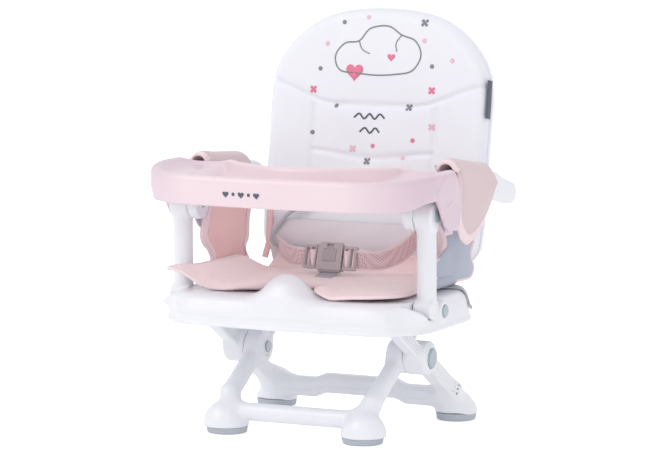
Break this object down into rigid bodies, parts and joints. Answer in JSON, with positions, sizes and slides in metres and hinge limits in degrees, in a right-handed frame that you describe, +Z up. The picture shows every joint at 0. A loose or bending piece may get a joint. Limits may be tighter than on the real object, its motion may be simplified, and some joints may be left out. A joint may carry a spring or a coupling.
{
  "type": "booster seat",
  "caption": "Folding child booster seat with scissor legs, a pink tray on folding arms, a padded back, a soft cushion and a lap belt with a snap buckle.",
  "frame": {"origin": "on the floor under the middle of the seat, at the centre of the overall box", "axes": "+X to the viewer's right, -Y the way the seat faces, +Z up"},
  "size_m": [0.428, 0.432, 0.5761],
  "materials": {
    "white_plastic": "satin",
    "pink_plastic": "satin",
    "pink_fabric": "woven",
    "grey_fabric": "woven",
    "white_fabric": "coated cloth",
    "buckle_plastic": "matte",
    "cap_plastic": "matte",
    "steel": "brushed",
    "grey_rubber": "matte"
  },
  "bodies": {
    "seat": {"seat_base": "white_plastic", "seat_cushion": "pink_fabric", "side_panel_left": "grey_fabric", "side_panel_right": "grey_fabric", "crotch_strap": "grey_fabric", "buckle_body": "buckle_plastic", "belt_adjuster_left": "buckle_plastic", "belt_adjuster_right": "buckle_plastic", "waist_belt_left": "pink_fabric", "waist_belt_right": "pink_fabric", "chair_strap_left": "grey_fabric", "chair_strap_right": "grey_fabric", "back_skirt": "white_fabric", "back_hinge_pin_left": "steel", "back_hinge_pin_right": "steel", "post_lower_pin_left": "cap_plastic", "post_lower_pin_right": "cap_plastic", "leg_pivot_pin_left": "steel", "leg_pivot_pin_right": "steel"},
    "buckle_button": {"buckle_button": "buckle_plastic"},
    "back": {"back_shell": "white_plastic", "back_pad": "white_fabric", "back_stud_left": "steel", "back_stud_right": "steel", "side_label": "white_fabric"},
    "posts": {"post_left": "white_plastic", "post_right": "white_plastic", "post_upper_pin_left": "cap_plastic", "post_upper_pin_right": "cap_plastic"},
    "post_lock_left": {"post_lock_left": "cap_plastic"},
    "post_lock_right": {"post_lock_right": "cap_plastic"},
    "armrests": {"armrest_left": "white_plastic", "armrest_right": "white_plastic", "armrest_flap_left": "pink_fabric", "armrest_flap_right": "pink_fabric"},
    "tray": {"tray": "pink_plastic", "tray_liner": "pink_plastic"},
    "tray_latch_left": {"tray_latch_left": "pink_plastic"},
    "tray_latch_right": {"tray_latch_right": "pink_plastic"},
    "rear_legs": {"rear_leg_frame": "white_plastic", "hub_bolt_left": "steel", "hub_bolt_right": "steel", "rear_foot_left": "white_plastic", "rear_foot_right": "white_plastic", "rear_sole_left": "grey_rubber", "rear_sole_right": "grey_rubber"},
    "front_legs": {"front_leg_frame": "white_plastic", "hub_spring_left": "steel", "hub_spring_right": "steel", "slide_roller_left": "steel", "slide_roller_right": "steel", "front_foot_left": "white_plastic", "front_foot_right": "white_plastic", "front_sole_left": "grey_rubber", "front_sole_right": "grey_rubber"},
    "hub_button_left": {"hub_button_left": "cap_plastic"},
    "hub_button_right": {"hub_button_right": "cap_plastic"}
  },
  "joints": [
    {"name": "back_fold", "type": "hinge", "parent": "seat", "child": "back", "pos_m": [0, 0.124, 0.198], "axis": [1, 0, 0], "range_deg": [0, 62], "deforming": ["side_panel_left", "side_panel_right", "waist_belt_left", "waist_belt_right", "back_skirt"]},
    {"name": "post_fold", "type": "hinge", "parent": "seat", "child": "posts", "pos_m": [0, -0.091, 0.186], "axis": [1, 0, 0], "range_deg": [0, 62]},
    {"name": "armrest_fold", "type": "hinge", "parent": "posts", "child": "armrests", "pos_m": [0, -0.086, 0.313], "axis": [1, 0, 0], "range_deg": [-62, 0]},
    {"name": "tray_slide", "type": "slide", "parent": "armrests", "child": "tray", "axis": [0, -1, 0], "range_m": [0, 0.07]},
    {"name": "tray_latch_left_squeeze", "type": "hinge", "parent": "tray", "child": "tray_latch_left", "pos_m": [-0.208, -0.061, 0.317], "axis": [0, -1, 0], "range_deg": [0, 7]},
    {"name": "tray_latch_right_squeeze", "type": "hinge", "parent": "tray", "child": "tray_latch_right", "pos_m": [0.208, -0.061, 0.317], "axis": [0, 1, 0], "range_deg": [0, 7]},
    {"name": "post_lock_left_press", "type": "slide", "parent": "seat", "child": "post_lock_left", "axis": [1, 0, 0], "range_m": [0, 0.002]},
    {"name": "post_lock_right_press", "type": "slide", "parent": "seat", "child": "post_lock_right", "axis": [-1, 0, 0], "range_m": [0, 0.002]},
    {"name": "buckle_button_press", "type": "slide", "parent": "seat", "child": "buckle_button", "axis": [0, 0.9511, -0.309], "range_m": [0, 0.002]},
    {"name": "rear_leg_fold", "type": "hinge", "parent": "seat", "child": "rear_legs", "pos_m": [0, -0.10046, 0.162], "axis": [1, 0, 0], "range_deg": [0, 21]},
    {"name": "front_leg_fold", "type": "hinge", "parent": "rear_legs", "child": "front_legs", "pos_m": [0, -0.0056, 0.105], "axis": [1, 0, 0], "range_deg": [-42, 0]},
    {"name": "hub_button_left_press", "type": "slide", "parent": "rear_legs", "child": "hub_button_left", "axis": [1, 0, 0], "range_m": [0, 0.004]},
    {"name": "hub_button_right_press", "type": "slide", "parent": "rear_legs", "child": "hub_button_right", "axis": [-1, 0, 0], "range_m": [0, 0.004]}
  ],
  "couplings": [
    {"joint": "post_fold", "follows": "back_fold", "ratio": 1},
    {"joint": "armrest_fold", "follows": "back_fold", "ratio": -1},
    {"joint": "front_leg_fold", "follows": "rear_leg_fold", "ratio": -2}
  ]
}
